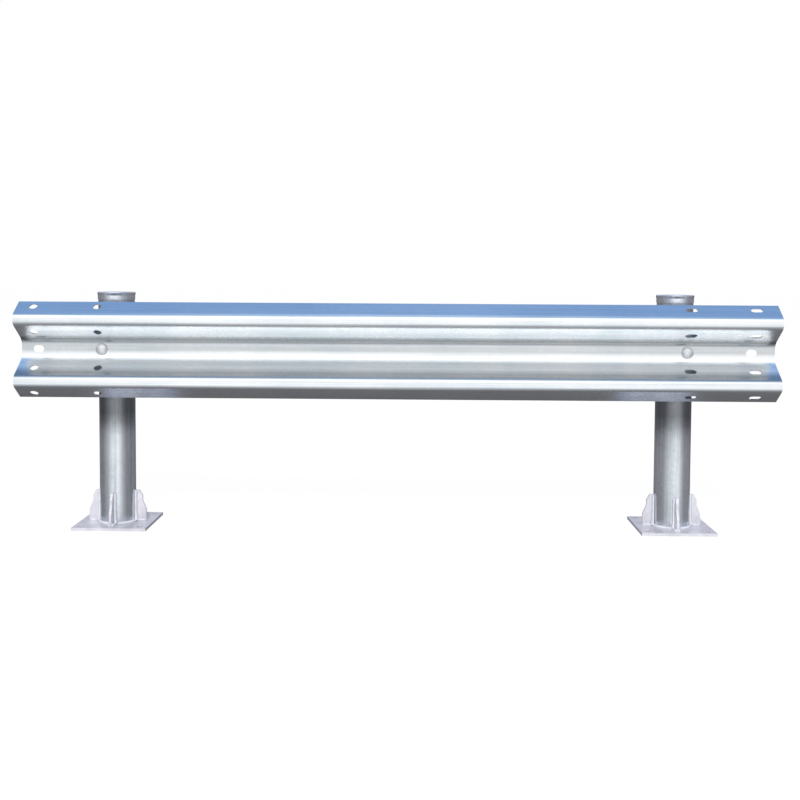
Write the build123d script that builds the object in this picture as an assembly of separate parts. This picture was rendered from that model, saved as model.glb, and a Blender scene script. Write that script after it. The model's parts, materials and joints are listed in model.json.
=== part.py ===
from build123d import *
import math
import os

# Highway guardrail section: one bay of two-wave steel beam carried by two round posts.
# Millimetres. X runs along the beam to the right post, minus Y faces the traffic, Z is up.
# The origin is the centre of the underside of the left post's base flange.

# Bay
post_spacing = 1900.0
beam_overhang_left = 260.0
beam_overhang_right = 280.0
beam_centre_height = 612.0

# Two-wave beam section, measured on the face towards the traffic
beam_height = 310.0
beam_depth = 85.0
beam_sheet = 3.0
peak_offset = 99.0
slope_angle = 55.0
bend_inner_radius = 24.0
valley_bend_radius = 40.0

# Holes in the beam, with both columns set out from the post bolts
splice_pitch = 206.0
inner_hole_height = 57.0
outer_hole_edge_distance = 15.0
splice_hole_diameter = 26.0
splice_slot_length = 38.0
splice_slot_width = 20.0
valley_slot_length = 36.0
valley_slot_width = 24.0
post_slot_length = 28.0

# Posts and their caps
post_diameter = 121.0
post_wall = 4.5
post_rise_above_beam = 28.0
cap_sheet = 1.2
cap_rim_diameter = 127.0
cap_rim_height = 3.5
cap_taper_height = 8.0
cap_skirt_height = 14.0
cap_edge_radius = 2.5

# Base flanges
flange_width = 250.0
flange_thickness = 10.0
anchor_pitch = 200.0
anchor_hole_diameter = 20.0

# Stiffening ribs at the foot of each post
rib_height = 105.0
rib_thickness = 8.0
rib_top_width = 14.0
rib_shoulder_width = 25.0
rib_shoulder_drop = 18.0
rib_waist_drop = 36.0
rib_base_width = 38.0
rib_base_edge = 38.0
rib_corner_clip = 12.0

# Spacer block between post and beam, a hexagonal loop of folded steel
block_reach = 175.0
block_height = 200.0
block_wall = 4.5
block_front_width = 104.0
block_width = 200.0
block_widest_reach = 118.0
block_rear_reach = 36.0
block_rear_width = 116.0
block_bend_radius = 14.0

# Fasteners
bolt_diameter = 16.0
bolt_hole_clearance = 2.0
bolt_tail = 9.0
button_head_diameter = 37.0
button_head_height = 11.0
button_seat_diameter = 23.0
button_rim_lift = 1.8
button_edge_height = 2.0
hex_across_flats = 24.0
hex_head_height = 10.0
nut_height = 13.0
hex_corner_chamfer = 1.6
shank_chamfer = 1.5
washer_diameter = 34.0
washer_thickness = 3.0

# Clearances
cap_clearance = 0.3
weld_gap = 0.3
block_clearance = 0.3
thread_clearance = 0.1
washer_clearance = 0.5

# Worked out from the sizes above
post_radius = post_diameter / 2
post_top_height = beam_centre_height + beam_height / 2 + post_rise_above_beam
outer_hole_height = beam_height / 2 - outer_hole_edge_distance
beam_length = beam_overhang_left + post_spacing + beam_overhang_right
beam_back = -block_reach
slope = math.radians(slope_angle)
bend_outer_radius = bend_inner_radius + beam_sheet
apex_depth = beam_depth + bend_outer_radius * (1 / math.cos(slope) - 1)
valley_corner = peak_offset - (apex_depth - beam_sheet) / math.tan(slope)
valley_flat_half = valley_corner - valley_bend_radius * math.tan(slope / 2)
shank_radius = bolt_diameter / 2
bolt_hole_diameter = bolt_diameter + bolt_hole_clearance

posts = {"left": 0.0, "right": post_spacing}
rib_directions = {
    "left": {"front": -90.0, "back": 90.0, "inner": 0.0, "outer": 180.0},
    "right": {"front": -90.0, "back": 90.0, "inner": 180.0, "outer": 0.0},
}


def folded_sheet(points, radii, thickness, side):
    """The section of a bent sheet, drawn from the line of one of its faces."""
    line = FilletPolyline(*points, radius=radii)
    return make_face(offset(line.edges(), thickness, side=side, closed=True).edges())


def slope_depth(height):
    """How far the sloping web's face lies in front of the beam's back, at a height."""
    return apex_depth - abs(height - peak_offset) * math.tan(slope)


def valley_rise(height):
    """How far the valley's face bends forward of its flat middle, at a height."""
    beyond_flat = max(0.0, height - valley_flat_half)
    return valley_bend_radius - math.sqrt(valley_bend_radius**2 - beyond_flat**2)


# Two-wave beam

def beam_profile():
    upper = [
        (beam_sheet, valley_corner),
        (apex_depth, peak_offset),
        (slope_depth(beam_height / 2), beam_height / 2),
    ]
    lower = [(depth, -z) for depth, z in reversed(upper)]
    points = [(beam_back - depth, z) for depth, z in lower + upper]
    radii = [bend_outer_radius, valley_bend_radius, valley_bend_radius, bend_outer_radius]
    return folded_sheet(points, radii, beam_sheet, Side.RIGHT)


def web_plane(x, height):
    """A plane on the sloping web's face, x along the beam, z out of the steel."""
    sign = 1 if height > 0 else -1
    rising = -1 if abs(height) < peak_offset else 1
    centre_y = beam_back - slope_depth(abs(height))
    normal = (0, -math.cos(slope), sign * rising * math.sin(slope))
    return Plane((x, centre_y, beam_centre_height + height), (1, 0, 0), normal)


def valley_plane(x):
    return Plane((x, beam_back - beam_sheet, beam_centre_height), (1, 0, 0), (0, -1, 0))


def through_web(plane, outline):
    return extrude(plane * outline, 3 * beam_sheet, both=True)


def two_wave_beam():
    section = Pos(0, 0, beam_centre_height) * (Plane.YZ * beam_profile())
    beam = extrude(Pos(-beam_overhang_left, 0, 0) * section, beam_length)
    heights = (inner_hole_height, -inner_hole_height, outer_hole_height, -outer_hole_height)
    round_hole = Circle(splice_hole_diameter / 2)
    long_hole = SlotOverall(splice_slot_length, splice_slot_width)
    for height in heights:
        for column in (-splice_pitch, 0):
            beam -= through_web(web_plane(column, height), round_hole)
        for column in (post_spacing, post_spacing + splice_pitch):
            beam -= through_web(web_plane(column, height), long_hole)
    valley_slot = SlotOverall(valley_slot_length, valley_slot_width)
    for column in (-splice_pitch, post_spacing + splice_pitch):
        beam -= through_web(valley_plane(column), valley_slot)
    post_slot = SlotOverall(post_slot_length, bolt_hole_diameter)
    for column in posts.values():
        beam -= through_web(valley_plane(column), post_slot)
    return beam


# Posts, caps and base flanges

def bolt_bore(start_y, end_y):
    """A bore for the post bolt, along Y at the beam's centre height."""
    bore = Cylinder(bolt_hole_diameter / 2, end_y - start_y, rotation=(90, 0, 0))
    return Pos(0, (start_y + end_y) / 2, beam_centre_height) * bore


def post_tube():
    length = post_top_height - flange_thickness
    ring = Circle(post_radius) - Circle(post_radius - post_wall)
    tube = extrude(Pos(0, 0, flange_thickness) * ring, length)
    return tube - bolt_bore(-post_diameter, post_diameter)


def post_cap():
    rim_radius = cap_rim_diameter / 2
    skirt_radius = post_radius + cap_clearance + cap_sheet
    top = post_top_height + cap_sheet
    rim_bottom = top - cap_rim_height
    taper_bottom = rim_bottom - cap_taper_height
    points = [
        (0, top),
        (rim_radius, top),
        (rim_radius, rim_bottom),
        (skirt_radius, taper_bottom),
        (skirt_radius, taper_bottom - cap_skirt_height),
    ]
    section = folded_sheet(points, [cap_edge_radius, 0, 0], cap_sheet, Side.RIGHT)
    return revolve(Plane.XZ * section, Axis.Z)


def base_flange():
    plate = Rectangle(flange_width, flange_width)
    plate -= GridLocations(anchor_pitch, anchor_pitch, 2, 2) * Circle(anchor_hole_diameter / 2)
    return extrude(plate, flange_thickness)


# Ribs stand on the flange and lean on the post, with a clipped corner over the weld

def rib(direction):
    inside = post_radius - post_wall
    top = flange_thickness + rib_height
    outline = Polyline(
        (inside, top),
        (post_radius + rib_top_width, top),
        (post_radius + rib_shoulder_width, top - rib_shoulder_drop),
        (post_radius + rib_shoulder_width, top - rib_waist_drop),
        (post_radius + rib_base_width, flange_thickness + rib_base_edge),
        (post_radius + rib_base_width, flange_thickness),
        (post_radius + rib_corner_clip, flange_thickness),
        (inside, flange_thickness + rib_corner_clip + post_wall),
        close=True,
    )
    plate = extrude(Plane.XZ * make_face(outline), rib_thickness / 2, both=True)
    column = Pos(0, 0, top / 2) * Cylinder(post_radius + weld_gap, 2 * top)
    return Rot(0, 0, direction) * (plate - column)


# Spacer block: open above and below, its rear wall curved to hug the post

def spacer_block():
    corners = [
        (block_front_width / 2, -block_reach),
        (block_width / 2, -block_widest_reach),
        (block_rear_width / 2, -block_rear_reach),
    ]
    mirrored = [(-x, y) for x, y in reversed(corners)]
    hexagon = make_face(Polyline(*corners, *mirrored, close=True))
    hexagon = fillet(hexagon.vertices().sort_by(Axis.Y)[:4], block_bend_radius)
    loop = hexagon - Circle(post_radius + block_clearance)
    loop -= offset(loop, -block_wall, kind=Kind.INTERSECTION)
    base = beam_centre_height - block_height / 2
    block = extrude(Pos(0, 0, base) * loop, block_height)
    return block - bolt_bore(-block_reach - block_wall, 0)


# Fasteners, made along Z from the seat of the head and then laid along Y

def lay_along(y, outward, piece):
    """Put a piece at depth y, with its own Z axis along plus or minus Y."""
    return Plane((0, y, beam_centre_height), (1, 0, 0), (0, outward, 0)) * piece


def hexagon_prism(height):
    corner_radius = hex_across_flats / 2 / math.cos(math.pi / 6)
    prism = extrude(RegularPolygon(corner_radius, 6), height)
    turned = chamfer(Cylinder(corner_radius, height).edges(), hex_corner_chamfer)
    return prism & (Pos(0, 0, height / 2) * turned)


def hex_nut():
    bore = Circle(shank_radius + thread_clearance)
    return hexagon_prism(nut_height) - extrude(bore, nut_height)


def flat_washer():
    ring = Circle(washer_diameter / 2) - Circle(shank_radius + washer_clearance)
    return extrude(ring, washer_thickness)


def shank(length):
    return Pos(0, 0, -length / 2) * chamfer(
        Cylinder(shank_radius, length).edges().sort_by(Axis.Z)[0], shank_chamfer
    )


def button_bolt(length):
    """A round-headed bolt, with a rim that lifts clear of the beam's curved valley."""
    seat = button_seat_diameter / 2
    rim = button_head_diameter / 2
    edge_top = button_rim_lift + button_edge_height
    dome = button_head_height - edge_top
    dome_radius = (rim**2 + dome**2) / (2 * dome)
    outline = Polyline(
        (0, button_head_height),
        (0, -length),
        (shank_radius - shank_chamfer, -length),
        (shank_radius, shank_chamfer - length),
        (shank_radius, 0),
        (seat, 0),
        (rim, button_rim_lift),
        (rim, edge_top),
    )
    outline += RadiusArc((rim, edge_top), (0, button_head_height), -dome_radius)
    return revolve(Plane.XZ * make_face(outline), Axis.Z)


def hex_bolt(length):
    return hexagon_prism(hex_head_height) + shank(length)


def post_hardware():
    """Every fastener at one post, by name."""
    button_seat = beam_back - beam_sheet - valley_rise(button_seat_diameter / 2)
    block_front_inside = beam_back + block_wall
    block_rear_inside = -(post_radius + block_clearance + block_wall)
    rail_grip = block_front_inside - button_seat
    rail_nut_seat = block_front_inside + washer_thickness
    post_back = post_radius
    post_grip = post_back - block_rear_inside + 2 * washer_thickness
    rear_nut_seat = block_rear_inside - washer_thickness
    tail = nut_height + bolt_tail
    return {
        "rail_bolt": lay_along(button_seat, -1, button_bolt(rail_grip + washer_thickness + tail)),
        "rail_bolt_washer": lay_along(block_front_inside, 1, flat_washer()),
        "rail_bolt_nut": lay_along(rail_nut_seat, 1, hex_nut()),
        "post_bolt": lay_along(post_back + washer_thickness, 1, hex_bolt(post_grip + tail)),
        "post_bolt_head_washer": lay_along(post_back, 1, flat_washer()),
        "post_bolt_nut_washer": lay_along(block_rear_inside, -1, flat_washer()),
        "post_bolt_nut": lay_along(rear_nut_seat, -1, hex_nut()),
    }


# One STEP file for each piece

os.makedirs("parts", exist_ok=True)
pieces = {"two_wave_beam": two_wave_beam()}
post_pieces = {
    "post_tube": post_tube(),
    "post_cap": post_cap(),
    "base_flange": base_flange(),
    "spacer_block": spacer_block(),
}
post_pieces.update(post_hardware())

for side, post_x in posts.items():
    for name, piece in post_pieces.items():
        pieces[side + "_" + name] = Pos(post_x, 0, 0) * piece
    for place, direction in rib_directions[side].items():
        pieces[side + "_rib_" + place] = Pos(post_x, 0, 0) * rib(direction)

for name, piece in pieces.items():
    export_step(piece, "parts/" + name + ".step")
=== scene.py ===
import bpy
import json
import math
from mathutils import Euler, Matrix, Vector, noise


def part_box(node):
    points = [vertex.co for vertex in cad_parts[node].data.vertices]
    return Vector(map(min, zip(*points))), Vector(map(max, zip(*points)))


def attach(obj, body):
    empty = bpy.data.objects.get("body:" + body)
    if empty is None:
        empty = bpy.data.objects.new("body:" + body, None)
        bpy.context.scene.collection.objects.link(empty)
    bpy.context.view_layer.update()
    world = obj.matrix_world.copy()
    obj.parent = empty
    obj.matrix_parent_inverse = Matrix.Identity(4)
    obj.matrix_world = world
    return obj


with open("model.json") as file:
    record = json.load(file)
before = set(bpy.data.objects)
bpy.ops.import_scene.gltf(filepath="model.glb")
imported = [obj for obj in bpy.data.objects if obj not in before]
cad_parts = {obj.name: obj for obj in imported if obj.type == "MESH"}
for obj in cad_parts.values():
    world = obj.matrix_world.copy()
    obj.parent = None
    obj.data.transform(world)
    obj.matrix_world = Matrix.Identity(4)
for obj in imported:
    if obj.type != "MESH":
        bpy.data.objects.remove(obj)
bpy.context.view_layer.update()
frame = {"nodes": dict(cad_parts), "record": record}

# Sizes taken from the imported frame, in metres

posts = {}
for side in ("left", "right"):
    tube_low, tube_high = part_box(side + "_post_tube")
    flange_low, flange_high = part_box(side + "_base_flange")
    posts[side] = {
        "x": (flange_low.x + flange_high.x) / 2,
        "radius": (tube_high.y - tube_low.y) / 2,
        "flange_top": flange_high.z,
    }
beam_low, beam_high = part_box("two_wave_beam")
RIB_PLACES = ("front", "back", "inner", "outer")


# Small helpers for node trees

def add_node(tree, kind, values=None, **settings):
    """A node with its settings and its input values or links."""
    made = tree.nodes.new(kind)
    for key, value in settings.items():
        setattr(made, key, value)
    for key, value in (values or {}).items():
        if isinstance(value, bpy.types.NodeSocket):
            tree.links.new(value, made.inputs[key])
        else:
            made.inputs[key].default_value = value
    return made


def maths(tree, operation, a, b=0.0):
    """The result of one sum on two values or sockets."""
    return add_node(tree, "ShaderNodeMath", {0: a, 1: b}, operation=operation).outputs[0]


def remap(tree, value, low, high, new_low, new_high):
    """A value moved from one range to another, and held inside it."""
    made = add_node(tree, "ShaderNodeMapRange", {
        "Value": value, "From Min": low, "From Max": high,
        "To Min": new_low, "To Max": new_high,
    })
    return made.outputs["Result"]


# Places of the factor and the two colours among a Mix node's inputs, and of its colour output

MIX_FACTOR = 0
MIX_FIRST = 6
MIX_SECOND = 7
MIX_COLOUR = 2


def blend_colours(tree, kind, factor, a, b):
    """Two colours mixed or multiplied, by a factor."""
    values = {MIX_FACTOR: factor, MIX_FIRST: a, MIX_SECOND: b}
    made = tree.nodes.new("ShaderNodeMix")
    made.data_type = "RGBA"
    made.blend_type = kind
    for index, value in values.items():
        if isinstance(value, bpy.types.NodeSocket):
            tree.links.new(value, made.inputs[index])
        else:
            made.inputs[index].default_value = value
    return made.outputs[MIX_COLOUR]


def stretched(tree, scale):
    """The part's own coordinates, in metres, stretched by a scale for each axis."""
    place = add_node(tree, "ShaderNodeTexCoord").outputs["Object"]
    return add_node(tree, "ShaderNodeMapping", {"Vector": place, "Scale": scale}).outputs[0]


def cloud(tree, scale, detail, rough):
    """Soft noise over the part, with a scale for each axis."""
    made = add_node(tree, "ShaderNodeTexNoise", {
        "Vector": stretched(tree, scale), "Scale": 1.0, "Detail": detail, "Roughness": rough,
    })
    return made.outputs["Fac"]


def ramp(tree, value, stops):
    """A colour that follows a list of (place from 0 to 1, colour)."""
    made = add_node(tree, "ShaderNodeValToRGB", {"Fac": value})
    elements = made.color_ramp.elements
    while len(elements) < len(stops):
        elements.new(0.5)
    for element, (place, colour) in zip(elements, stops):
        element.position = place
        element.color = (*colour, 1.0)
    return made.outputs["Color"]


# Galvanised steel: crystals of zinc, streaks along the metal and a thin grey patina. Scales are
# per metre along X, Y and Z, and each noise is a pair of detail and roughness

STREAK_NOISE = (4.0, 0.6)
CLOUD_SCALE = (5.0, 5.0, 5.0)
CLOUD_NOISE = (4.0, 0.55)
SPECK_SCALE = (220.0, 220.0, 220.0)
SPECK_NOISE = (2.0, 0.6)
WAVE_NOISE = (1.0, 0.4)

# How much streaks, clouds and crystals say about the patina, and where it starts and is full

STREAK_SHARE = 0.58
CLOUD_SHARE = 0.37
CRYSTAL_SHARE = 0.05
PATINA_START = 0.36
PATINA_FULL = 0.66

# Grey freckles, where the finest noise is high

FRECKLE_START = 0.62
FRECKLE_FULL = 0.74
FRECKLE_STRENGTH = 0.25
FRECKLE_COLOUR = (0.84, 0.84, 0.86, 1.0)

# Change of roughness from the smoothest crystal to the roughest, and from clean zinc to patina

CRYSTAL_SHINE = (-0.015, 0.02)
PATINA_SHINE = (-0.03, 0.05)

# Fine relief, in metres, and what streaks and the finest noise each give to it

FINE_GRAIN = 0.00002
STREAK_RELIEF = 0.7
SPECK_RELIEF = 0.3

# Length in metres over which the painted shade of the bands fades out, towards the back

FADE_LENGTH = 0.04


def painted_shade_values(tree, painted_shade_bands, painted_shade_end):
    """Sockets for the painted shade tone and the added roughness of the bands, and how far that shade
    counts.
    """
    place = add_node(tree, "ShaderNodeTexCoord").outputs["Object"]
    place = add_node(tree, "ShaderNodeSeparateXYZ", {0: place})
    low, high = painted_shade_bands[0][0], painted_shade_bands[-1][0]
    share = remap(tree, place.outputs["Z"], low, high, 0.0, 1.0)
    stops = [((height - low) / (high - low), (tone, rough, 0.0)) for height, tone, rough in painted_shade_bands]
    band = add_node(tree, "ShaderNodeSeparateColor", {0: ramp(tree, share, stops)})
    reach = 1.0
    if painted_shade_end is not None:
        reach = remap(tree, place.outputs["Y"], painted_shade_end, painted_shade_end - FADE_LENGTH, 0.0, 1.0)
    return band.outputs[0], band.outputs[1], reach


def zinc(name, colour, patina, roughness, grain, streaks, ripple, wave_height, metal=1.0,
         painted_shade_bands=None, painted_shade_end=None):
    """A material of galvanised steel.

    grain is the crystal size in metres, streaks and ripple are noise scales along X, Y and Z.
    The bands are a list of (height, tone, added roughness) up the piece. Their tones are painted
    shade.
    The end of the bands is the Y at which their painted shade has faded out, towards the back. The
    roughness doesn't.
    """
    made = bpy.data.materials.new(name)
    made.use_nodes = True
    tree = made.node_tree
    shader = tree.nodes["Principled BSDF"]

    crystals = add_node(tree, "ShaderNodeTexVoronoi", {
        "Vector": stretched(tree, (1.0, 1.0, 1.0)), "Scale": 1.0 / grain, "Randomness": 1.0,
    })
    facet = add_node(tree, "ShaderNodeSeparateColor", {0: crystals.outputs["Color"]})
    streak = cloud(tree, streaks, *STREAK_NOISE)
    clouds = cloud(tree, CLOUD_SCALE, *CLOUD_NOISE)
    specks = cloud(tree, SPECK_SCALE, *SPECK_NOISE)

    mottle = maths(tree, "MULTIPLY", streak, STREAK_SHARE)
    mottle = maths(tree, "ADD", mottle, maths(tree, "MULTIPLY", clouds, CLOUD_SHARE))
    mottle = maths(tree, "ADD", mottle, maths(tree, "MULTIPLY", facet.outputs[0], CRYSTAL_SHARE))
    age = remap(tree, mottle, PATINA_START, PATINA_FULL, 0.0, 1.0)
    base = blend_colours(tree, "MIX", age, (*colour, 1.0), (*patina, 1.0))
    freckle = remap(tree, specks, FRECKLE_START, FRECKLE_FULL, 0.0, FRECKLE_STRENGTH)
    base = blend_colours(tree, "MULTIPLY", freckle, base, FRECKLE_COLOUR)

    crystal_shine = [roughness + change for change in CRYSTAL_SHINE]
    shine = remap(tree, facet.outputs[1], 0.0, 1.0, *crystal_shine)
    shine = maths(tree, "ADD", shine, remap(tree, age, 0.0, 1.0, *PATINA_SHINE))

    # Painted shade: the tones of the bands darken the colour by height, fading out towards the back
    if painted_shade_bands:
        tone, added_roughness, reach = painted_shade_values(tree, painted_shade_bands, painted_shade_end)
        grey = add_node(tree, "ShaderNodeCombineColor", {0: tone, 1: tone, 2: tone})
        base = blend_colours(tree, "MULTIPLY", reach, base, grey.outputs[0])
        shine = maths(tree, "ADD", shine, added_roughness)
    tree.links.new(base, shader.inputs["Base Color"])
    tree.links.new(shine, shader.inputs["Roughness"])
    shader.inputs["Metallic"].default_value = metal

    waves = cloud(tree, ripple, *WAVE_NOISE)
    wavy = add_node(tree, "ShaderNodeBump", {
        "Height": waves, "Strength": 1.0, "Distance": wave_height,
    })
    streak_relief = maths(tree, "MULTIPLY", streak, STREAK_RELIEF)
    speck_relief = maths(tree, "MULTIPLY", specks, SPECK_RELIEF)
    grained = add_node(tree, "ShaderNodeBump", {
        "Height": maths(tree, "ADD", streak_relief, speck_relief),
        "Strength": 1.0, "Distance": FINE_GRAIN, "Normal": wavy.outputs[0],
    })
    tree.links.new(grained.outputs[0], shader.inputs["Normal"])
    return made


# (height from the beam's middle in metres, tone, added roughness), set until the webs and bends
# came out about as bright as in the photograph. The tones are painted shade and painted reflection:
# darker bands along the beam, multiplied into its colour

BEAM_PAINTED_SHADE = [
    (-0.155, 0.82, 0.14), (-0.118, 0.92, 0.10), (-0.108, 1.00, 0.00), (-0.092, 0.92, 0.00),
    (-0.080, 0.42, 0.06), (-0.068, 0.50, 0.12), (-0.054, 1.00, 0.18), (-0.036, 1.00, 0.14),
    (-0.012, 1.00, 0.02), (0.000, 0.66, 0.02), (0.012, 0.72, 0.02), (0.021, 0.74, 0.04),
    (0.034, 0.36, 0.08), (0.047, 1.00, 0.12), (0.082, 1.00, 0.12), (0.088, 0.74, 0.00),
    (0.095, 0.96, 0.00), (0.107, 1.00, 0.00), (0.115, 0.82, 0.00), (0.155, 0.82, 0.00),
]
beam_middle = (beam_low.z + beam_high.z) / 2
beam_zinc = zinc(
    "beam_zinc", colour=(1.00, 1.00, 1.00), patina=(0.78, 0.84, 0.87), roughness=0.16, grain=0.014,
    streaks=(1.5, 80.0, 80.0), ripple=(1.1, 9.0, 9.0), wave_height=0.0014,
    painted_shade_bands=[(beam_middle + height, tone, rough) for height, tone, rough in BEAM_PAINTED_SHADE],
)

# (height in metres, tone, added roughness), set in the same way. The tones are a painted shadow of
# the beam: the front of the post is darker behind and below the beam, where the beam shades it in
# the photograph

POST_PAINTED_SHADOW = [
    (0.00, 1.00, 0.00), (0.27, 1.00, 0.00), (0.31, 0.94, 0.00), (0.335, 0.76, 0.00),
    (0.355, 0.58, 0.00), (0.39, 0.38, 0.00), (0.62, 0.44, 0.00), (0.80, 0.90, 0.00),
]
POST_PAINTED_SHADOW_END = 0.03
post_zinc = zinc(
    "post_zinc", colour=(0.80, 0.82, 0.86), patina=(0.44, 0.48, 0.51), roughness=0.21, grain=0.011,
    streaks=(62.0, 62.0, 1.2), ripple=(14.0, 14.0, 2.0), wave_height=0.0007, metal=0.90,
    painted_shade_bands=POST_PAINTED_SHADOW, painted_shade_end=POST_PAINTED_SHADOW_END,
)
cap_zinc = zinc(
    "cap_zinc", colour=(0.86, 0.88, 0.93), patina=(0.70, 0.72, 0.77), roughness=0.17, grain=0.010,
    streaks=(30.0, 30.0, 30.0), ripple=(9.0, 9.0, 9.0), wave_height=0.0002, metal=0.95,
)
foot_zinc = zinc(
    "foot_zinc", colour=(0.78, 0.77, 0.82), patina=(0.58, 0.57, 0.63), roughness=0.32, grain=0.013,
    streaks=(18.0, 18.0, 18.0), ripple=(16.0, 16.0, 16.0), wave_height=0.0007, metal=0.55,
)
block_zinc = zinc(
    "block_zinc", colour=(0.58, 0.60, 0.63), patina=(0.44, 0.46, 0.49), roughness=0.32, grain=0.012,
    streaks=(14.0, 14.0, 3.0), ripple=(12.0, 12.0, 5.0), wave_height=0.0006, metal=0.8,
)
bolt_zinc = zinc(
    "bolt_zinc", colour=(0.76, 0.77, 0.79), patina=(0.60, 0.61, 0.63), roughness=0.34, grain=0.004,
    streaks=(90.0, 90.0, 90.0), ripple=(60.0, 60.0, 60.0), wave_height=0.0002, metal=0.75,
)
weld_zinc = zinc(
    "weld_zinc", colour=(0.92, 0.92, 0.95), patina=(0.78, 0.78, 0.82), roughness=0.30, grain=0.006,
    streaks=(60.0, 60.0, 60.0), ripple=(80.0, 80.0, 80.0), wave_height=0.0003, metal=0.6,
)

FINISHES = {
    "beam_zinc": beam_zinc,
    "post_zinc": post_zinc,
    "cap_zinc": cap_zinc,
    "foot_zinc": foot_zinc,
    "block_zinc": block_zinc,
    "bolt_zinc": bolt_zinc,
}
node_slots = {row["node"]: row["material_slot"] for row in frame["record"]["subparts"]}
for node_name, node_object in frame["nodes"].items():
    finish = FINISHES[node_slots[node_name]]
    for material_slot in node_object.material_slots:
        material_slot.material = finish


# Pieces made here

def new_piece(name, vertices, faces, material):
    """A smooth mesh that rides on the part's one body."""
    mesh = bpy.data.meshes.new(name)
    mesh.from_pydata(vertices, [], faces)
    mesh.update()
    for polygon in mesh.polygons:
        polygon.use_smooth = True
    piece = bpy.data.objects.new(name, mesh)
    bpy.context.scene.collection.objects.link(piece)
    mesh.materials.append(material)
    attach(piece, "root")
    return piece


def join_parts(parts):
    """One list of vertices and one of faces, from several pairs of them."""
    vertices = []
    faces = []
    for part_vertices, part_faces in parts:
        start = len(vertices)
        vertices += part_vertices
        faces += [tuple(index + start for index in face) for face in part_faces]
    return vertices, faces


# Weld beads: a rippled fillet drawn along a path, with its own frame at each step. Lengths in metres

BEAD_SIDES = 10
BEAD_PITCH = 0.0032
BEAD_STEPS = 4
STEP_LENGTH = BEAD_PITCH / BEAD_STEPS
BEAD_RIPPLE = 0.10
BEAD_WANDER = 0.16
WANDER_STEP = 0.11
BEAD_ROUND = 0.80
BEAD_CROWN = 0.14
BEAD_SINK = 0.0006
END_THICKNESS = 0.35
END_RISE = 0.25
FLARES_PER_BEAD = 3


def bead(path, size, seed, foot_size=None):
    """Vertices and faces of a bead along a list of (point, first leg, second leg).

    A bead with a foot_size starts that thick and thins to size over its first third.
    """
    vertices = []
    faces = []
    count = len(path)
    for step, (point, leg_a, leg_b) in enumerate(path):
        phase = 2 * math.pi * step / BEAD_STEPS
        wander = noise.noise(Vector((seed, step * WANDER_STEP, 0.0)))
        flare = max(0.0, 1 - FLARES_PER_BEAD * step / count) ** 2
        thickness = size + ((foot_size or size) - size) * flare
        swell = thickness * (1 + BEAD_RIPPLE * math.sin(phase) + BEAD_WANDER * wander)
        from_end = count - 1 - step
        swell *= min(1.0, END_THICKNESS + END_RISE * step, END_THICKNESS + END_RISE * from_end)
        for corner in range(BEAD_SIDES):
            turn = corner / (BEAD_SIDES - 1)
            angle = turn * math.pi / 2
            bulge = BEAD_ROUND + BEAD_CROWN * math.sin(2 * angle)
            reach = swell * bulge
            vertices.append(point + leg_a * reach * math.cos(angle) + leg_b * reach * math.sin(angle))
        vertices.append(point - (leg_a + leg_b) * BEAD_SINK)
    row = BEAD_SIDES + 1
    for step in range(count - 1):
        for corner in range(row):
            a = step * row + corner
            b = step * row + (corner + 1) % row
            faces.append((a, b, b + row, a + row))
    faces.append(tuple(range(row - 1, -1, -1)))
    last = (count - 1) * row
    faces.append(tuple(range(last, last + row)))
    return vertices, faces


# Sizes of the welds at a post's foot, in metres, and where each kind of bead reads its noise

UP = Vector((0.0, 0.0, 1.0))
RIBS_ROUND_POST = len(RIB_PLACES)
RING_WELD = 0.0075
RIB_WELD = 0.0080
RIB_WELD_FOOT = 0.0150
FLANGE_WELD = 0.0070
FLANGE_WELD_FOOT = 0.0110
RING_TO_RIB = 0.002
RIB_STEP_ALLOWANCE = 0.004
FLANGE_WELD_START = 0.004
FLANGE_WELD_SHORTER = 0.006
RING_SEED = 3.1
RIB_SEED = 11.7
FLANGE_SEED = 31.3


def ring_path(centre, radius, start, span):
    """Round the post's tube, from the angle start over span radians."""
    count = int(radius * span / STEP_LENGTH)
    path = []
    for step in range(count + 1):
        angle = start + span * step / count
        out = Vector((math.cos(angle), math.sin(angle), 0.0))
        path.append((centre + out * radius, out, UP))
    return path


def rib_path(centre, out, face, radius, half_rib, rise):
    """Up the corner between the tube and one face of a rib."""
    root = math.sqrt(radius**2 - half_rib**2)
    foot = centre + out * root + face * half_rib
    tangent = (out + face * (half_rib / radius)).normalized()
    count = int((rise - RIB_STEP_ALLOWANCE) / STEP_LENGTH)
    return [(foot + UP * (rise * step / count), face, tangent) for step in range(count + 1)]


def flange_path(centre, out, face, radius, half_rib, rib_reach):
    """Outwards over the flange, beside one face of a rib."""
    run = rib_reach - radius - FLANGE_WELD_SHORTER
    count = int(run / STEP_LENGTH)
    path = []
    for step in range(count + 1):
        along = radius + FLANGE_WELD_START + run * step / count
        path.append((centre + out * along + face * half_rib, face, UP))
    return path


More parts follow.
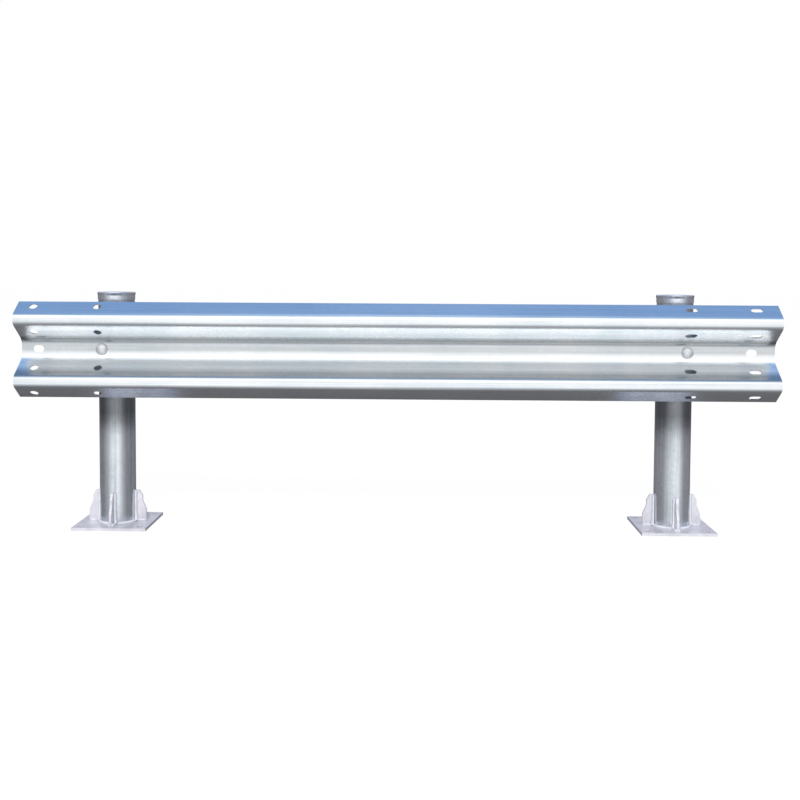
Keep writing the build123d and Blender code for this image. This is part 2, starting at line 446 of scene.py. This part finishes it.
def foot_welds(side):
    """The welds of one post: round its foot, and along both sides of each rib.

    The ribs are alike, and the front one gives the sizes.
    """
    post = posts[side]
    radius = post["radius"]
    centre = Vector((post["x"], 0.0, post["flange_top"]))
    rib_boxes = {place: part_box(side + "_rib_" + place) for place in RIB_PLACES}
    front_low, front_high = rib_boxes["front"]
    half_rib = (front_high.x - front_low.x) / 2
    rise = front_high.z - post["flange_top"]
    rib_reach = -front_low.y
    gap = math.asin((half_rib + RING_TO_RIB) / radius)

    parts = []
    for quarter in range(RIBS_ROUND_POST):
        start = quarter * math.pi / 2 + gap
        path = ring_path(centre, radius, start, math.pi / 2 - 2 * gap)
        parts.append(bead(path, RING_WELD, quarter + RING_SEED))

    for index in range(RIBS_ROUND_POST):
        angle = index * math.pi / 2
        out = Vector((math.cos(angle), math.sin(angle), 0.0))
        across = Vector((-math.sin(angle), math.cos(angle), 0.0))
        for hand in (-1.0, 1.0):
            face = across * hand
            path = rib_path(centre, out, face, radius, half_rib, rise)
            parts.append(bead(path, RIB_WELD, index * 2 + hand + RIB_SEED, RIB_WELD_FOOT))
            path = flange_path(centre, out, face, radius, half_rib, rib_reach)
            parts.append(bead(path, FLANGE_WELD, index * 2 + hand + FLANGE_SEED, FLANGE_WELD_FOOT))

    vertices, faces = join_parts(parts)
    return new_piece(side + "_foot_welds", vertices, faces, weld_zinc)


for side in posts:
    foot_welds(side)


# Threads on the ends of the bolts that stick out of their nuts. Lengths in metres

THREAD_PITCH = 0.002
THREAD_DEPTH = 0.0006
THREAD_SEGMENTS = 40
THREAD_CORNERS = 3
SHANK_RADIUS = 0.008
ROOT_SINK = 0.0002
FLANK_IN_PITCHES = 0.45
THREAD_START = 0.0004
THREAD_SHORTER = 0.002


def threads(side, bolt, nut, direction):
    """Ridges round a bolt's tail, from its nut to its end. direction is the tail's, along Y."""
    bolt_low, bolt_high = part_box(side + bolt)
    nut_low, nut_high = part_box(side + nut)
    x = (nut_low.x + nut_high.x) / 2
    z = (nut_low.z + nut_high.z) / 2
    start = nut_high.y if direction > 0 else nut_low.y
    end = bolt_high.y if direction > 0 else bolt_low.y
    turns = int((abs(end - start) - THREAD_SHORTER) / THREAD_PITCH)
    vertices = []
    faces = []
    rows = turns * THREAD_SEGMENTS
    for step in range(rows + 1):
        angle = 2 * math.pi * step / THREAD_SEGMENTS
        along = start + direction * (THREAD_START + THREAD_PITCH * step / THREAD_SEGMENTS)
        fade = min(1.0, step / THREAD_SEGMENTS, (rows - step) / THREAD_SEGMENTS)
        ridge = (
            (-FLANK_IN_PITCHES, -ROOT_SINK),
            (0.0, THREAD_DEPTH * fade),
            (FLANK_IN_PITCHES, -ROOT_SINK),
        )
        for offset, reach in ridge:
            r = SHANK_RADIUS + reach
            y = along + offset * THREAD_PITCH * direction
            vertices.append(Vector((x + r * math.cos(angle), y, z + r * math.sin(angle))))
    for step in range(rows):
        for corner in range(THREAD_CORNERS):
            a = step * THREAD_CORNERS + corner
            b = step * THREAD_CORNERS + (corner + 1) % THREAD_CORNERS
            faces.append((a, b, b + THREAD_CORNERS, a + THREAD_CORNERS))
    name = side + bolt + "_threads"
    return new_piece(name, vertices, faces, bolt_zinc)


for side in posts:
    threads(side, "_rail_bolt", "_rail_bolt_nut", 1)
    threads(side, "_post_bolt", "_post_bolt_nut", -1)


# Floor: mostly plain white to the camera, matt to other rays. Reflections don't show it

FLOOR_HALF = 60.0
FLOOR_PLAIN = 0.80
FLOOR_GREY = (0.55, 0.55, 0.55, 1.0)
FLOOR_LEVEL = 1.19
WHITE = (1.0, 1.0, 1.0, 1.0)


def plain_floor():
    """A pale floor under the part, which keeps a faint shadow."""
    centre_x = (beam_low.x + beam_high.x) / 2
    mesh = bpy.data.meshes.new("floor")
    corners = [(-FLOOR_HALF, -FLOOR_HALF), (FLOOR_HALF, -FLOOR_HALF),
               (FLOOR_HALF, FLOOR_HALF), (-FLOOR_HALF, FLOOR_HALF)]
    mesh.from_pydata([(centre_x + x, y, 0.0) for x, y in corners], [], [(0, 1, 2, 3)])
    floor = bpy.data.objects.new("floor", mesh)
    bpy.context.scene.collection.objects.link(floor)
    made = bpy.data.materials.new("pale_floor")
    made.use_nodes = True
    tree = made.node_tree
    tree.nodes.remove(tree.nodes["Principled BSDF"])
    matt = add_node(tree, "ShaderNodeBsdfDiffuse", {"Color": FLOOR_GREY})
    plain = add_node(tree, "ShaderNodeEmission", {"Color": WHITE, "Strength": FLOOR_LEVEL})
    camera_ray = add_node(tree, "ShaderNodeLightPath").outputs["Is Camera Ray"]
    share = maths(tree, "MULTIPLY", camera_ray, FLOOR_PLAIN)
    mixed = add_node(tree, "ShaderNodeMixShader", {0: share, 1: matt.outputs[0], 2: plain.outputs[0]})
    tree.links.new(mixed.outputs[0], tree.nodes["Material Output"].inputs["Surface"])
    mesh.materials.append(made)
    floor.visible_glossy = False
    return floor


plain_floor()


# World: (place from straight down, 0, to straight up, 1, and colour) of the dome that the zinc
# reflects, ahead of the part and behind it. It was set against the photograph

FRONT_DOME = [
    (0.00, (0.36, 0.37, 0.39)),
    (0.05, (0.48, 0.49, 0.52)),
    (0.12, (0.72, 0.75, 0.79)),
    (0.22, (1.08, 1.12, 1.16)),
    (0.35, (0.98, 1.01, 1.04)),
    (0.48, (1.09, 1.11, 1.13)),
    (0.54, (1.08, 1.09, 1.10)),
    (0.63, (0.98, 0.99, 1.01)),
    (0.73, (1.16, 1.17, 1.19)),
    (0.80, (1.82, 1.84, 1.87)),
    (0.84, (2.12, 2.14, 2.17)),
    (0.94, (0.82, 0.96, 1.14)),
    (1.00, (0.50, 0.68, 0.98)),
]
BACK_DOME = [
    (0.00, (0.17, 0.17, 0.18)),
    (0.20, (0.13, 0.13, 0.14)),
    (0.33, (0.26, 0.26, 0.28)),
    (0.42, (0.20, 0.20, 0.22)),
    (0.47, (0.10, 0.10, 0.11)),
    (0.55, (0.58, 0.57, 0.63)),
    (0.68, (0.60, 0.61, 0.70)),
    (0.88, (0.28, 0.44, 0.74)),
    (0.97, (0.24, 0.42, 0.77)),
    (1.00, (0.50, 0.68, 0.98)),
]

# Heading along Y, from -1 in front to 1 behind, at which the front dome is full and has ended

FRONT_FULL = -0.96
FRONT_ENDS = 0.10
FRONT_POWER = 3.5
LEAST_LEVEL = 0.0001
DIFFUSE_LIGHT = (0.34, 0.35, 0.37, 1.0)


def studio_world():
    """A dome for reflections, and an even grey for diffuse light. Camera and transmission see white.

    The dome is bright in front, over twice white in a band high up, dim at the sides and behind,
    and pale blue overhead.
    """
    world = bpy.data.worlds.new("studio")
    bpy.context.scene.world = world
    world.use_nodes = True
    tree = world.node_tree
    background = tree.nodes["Background"]
    direction = add_node(tree, "ShaderNodeTexCoord").outputs["Generated"]
    split = add_node(tree, "ShaderNodeSeparateXYZ", {0: direction})
    up = split.outputs["Z"]
    rise = remap(tree, up, -1.0, 1.0, 0.0, 1.0)
    front = ramp(tree, rise, FRONT_DOME)
    back = ramp(tree, rise, BACK_DOME)
    level = maths(tree, "SUBTRACT", 1.0, maths(tree, "MULTIPLY", up, up))
    level = maths(tree, "SQRT", maths(tree, "MAXIMUM", level, LEAST_LEVEL))
    heading = maths(tree, "DIVIDE", split.outputs["Y"], level)
    ahead = remap(tree, heading, FRONT_FULL, FRONT_ENDS, 1.0, 0.0)
    dome = blend_colours(tree, "MIX", maths(tree, "POWER", ahead, FRONT_POWER), back, front)
    rays = add_node(tree, "ShaderNodeLightPath")
    lit = blend_colours(tree, "MIX", rays.outputs["Is Diffuse Ray"], dome, DIFFUSE_LIGHT)
    plain = maths(tree, "MAXIMUM", rays.outputs["Is Camera Ray"], rays.outputs["Is Transmission Ray"])
    seen = blend_colours(tree, "MIX", plain, lit, WHITE)
    tree.links.new(seen, background.inputs["Color"])
    background.inputs["Strength"].default_value = 1.0
    return world


studio_world()


# Lamp: place and size in metres, power in watts. Reflections don't show it

LAMP_LEFT_OF_MIDDLE = 0.6
LAMP_Y = -7.6
LAMP_Z = 5.6
LAMP_SIZE = 0.9
LAMP_POWER = 900.0
LAMP_COLOUR = (1.0, 0.99, 0.97)


def soft_lamp(name, place, aim, size, power, colour):
    """A square lamp at a place, turned towards the point aim."""
    lamp = bpy.data.lights.new(name, "AREA")
    lamp.shape = "SQUARE"
    lamp.size = size
    lamp.energy = power
    lamp.color = colour
    holder = bpy.data.objects.new(name, lamp)
    holder.location = place
    holder.rotation_euler = (Vector(aim) - Vector(place)).to_track_quat("-Z", "Y").to_euler()
    holder.visible_glossy = False
    bpy.context.scene.collection.objects.link(holder)
    return holder


middle = (beam_low + beam_high) / 2
lamp_place = (middle.x - LAMP_LEFT_OF_MIDDLE, LAMP_Y, LAMP_Z)
soft_lamp("key_lamp", lamp_place, middle, LAMP_SIZE, LAMP_POWER, LAMP_COLOUR)


# Camera at the photograph's viewing angle. Its place is in metres, its turns in radians, its
# sensor in millimetres, and lens, image and horizon in pixels

LENS_PIXELS = 1058.0
IMAGE_SIZE = 800.0
SENSOR_WIDTH = 36.0
HORIZON_ROW = 329.2
CAMERA_PLACE = Vector((1.024, -3.599, 0.8545))
CAMERA_PITCH = 0.050
CAMERA_YAW = 0.0154
CAMERA_ROLL = 0.0054


def photo_camera():
    """The scene's camera, where the photograph was taken from."""
    camera = bpy.data.cameras.new("camera")
    camera.sensor_width = SENSOR_WIDTH
    camera.lens = LENS_PIXELS / IMAGE_SIZE * SENSOR_WIDTH
    camera.shift_y = -(IMAGE_SIZE / 2 - HORIZON_ROW) / IMAGE_SIZE
    holder = bpy.data.objects.new("camera", camera)
    level = Euler((math.pi / 2, 0.0, 0.0)).to_matrix()
    turn = Matrix.Rotation(CAMERA_YAW, 3, "Z") @ level
    tilt = Matrix.Rotation(-CAMERA_PITCH, 3, "X") @ Matrix.Rotation(CAMERA_ROLL, 3, "Z")
    holder.rotation_euler = (turn @ tilt).to_euler()
    holder.location = CAMERA_PLACE
    bpy.context.scene.collection.objects.link(holder)
    bpy.context.scene.camera = holder
    return holder


photo_camera()

bpy.context.scene.view_settings.view_transform = "Standard"
